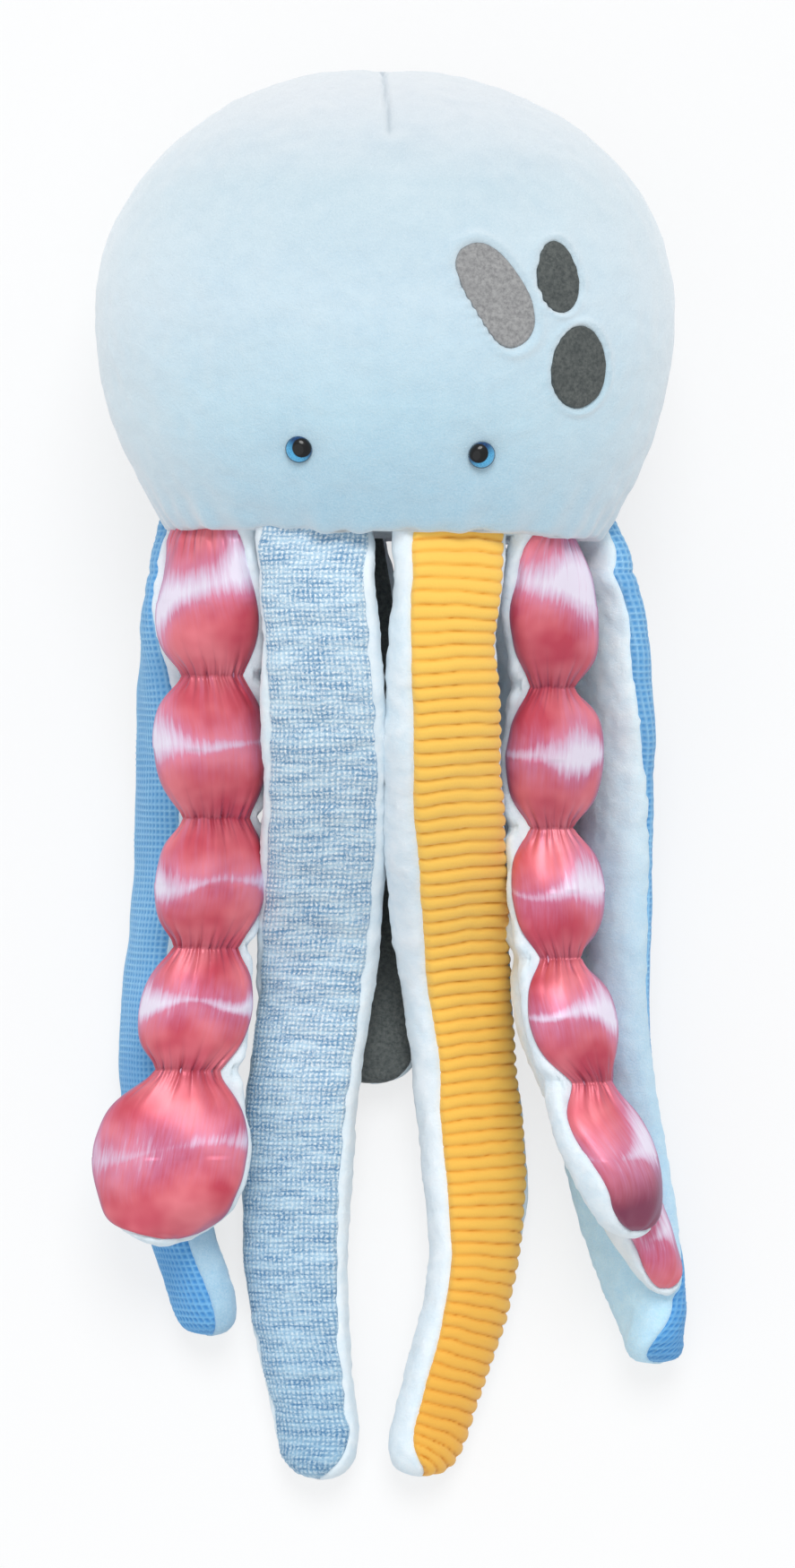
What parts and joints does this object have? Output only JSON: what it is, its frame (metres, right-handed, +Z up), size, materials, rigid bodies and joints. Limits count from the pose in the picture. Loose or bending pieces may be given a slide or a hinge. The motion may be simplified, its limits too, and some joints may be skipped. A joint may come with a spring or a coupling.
{
  "type": "plush jellyfish",
  "caption": "Large plush jellyfish toy lying face up: a stuffed bell head with domed eyes and grey patches, and stuffed tentacles faced in knit, padded ribs, gathered satin and waffle cloth.",
  "frame": {"origin": "centre of the bounding box's underside, on the floor that the toy lies on", "axes": "+Y from the tentacle tips towards the crown of the head, +Z up out of the face, +X to the right seen from above the face"},
  "size_m": [0.339, 0.8088, 0.236],
  "materials": {
    "pale_plush": "short dense plush pile, pale blue",
    "light_grey_pile": "short cropped pile, light grey",
    "dark_grey_pile": "short cropped pile, dark grey",
    "eye_gloss": "clear gloss dome over a dark pupil and a blue ring",
    "melange_knit": "fine plain knit in mixed pale blue and white yarn",
    "yellow_rib": "soft warm yellow cloth in padded cross ribs",
    "coral_satin": "shiny coral satin with pale highlights, gathered",
    "blue_waffle": "blue waffle weave cloth"
  },
  "bodies": {
    "root": {"head": "pale_plush", "grey_patch_light": "light_grey_pile", "grey_patch_upper": "dark_grey_pile", "grey_patch_lower": "dark_grey_pile", "eye_left": "eye_gloss", "eye_right": "eye_gloss", "waffle_left_tentacle_body": "pale_plush", "waffle_left_tentacle_face": "blue_waffle", "waffle_right_tentacle_body": "pale_plush", "waffle_right_tentacle_face": "blue_waffle", "grey_rear_tentacle_body": "pale_plush", "grey_rear_tentacle_face": "dark_grey_pile", "satin_rear_tentacle_body": "pale_plush", "satin_rear_tentacle_face": "coral_satin", "knit_tentacle_body": "pale_plush", "knit_tentacle_face": "melange_knit", "ribbed_tentacle_body": "pale_plush", "ribbed_tentacle_face": "yellow_rib", "satin_left_tentacle_body": "pale_plush", "satin_left_tentacle_face": "coral_satin", "satin_right_tentacle_body": "pale_plush", "satin_right_tentacle_face": "coral_satin"}
  },
  "joints": []
}
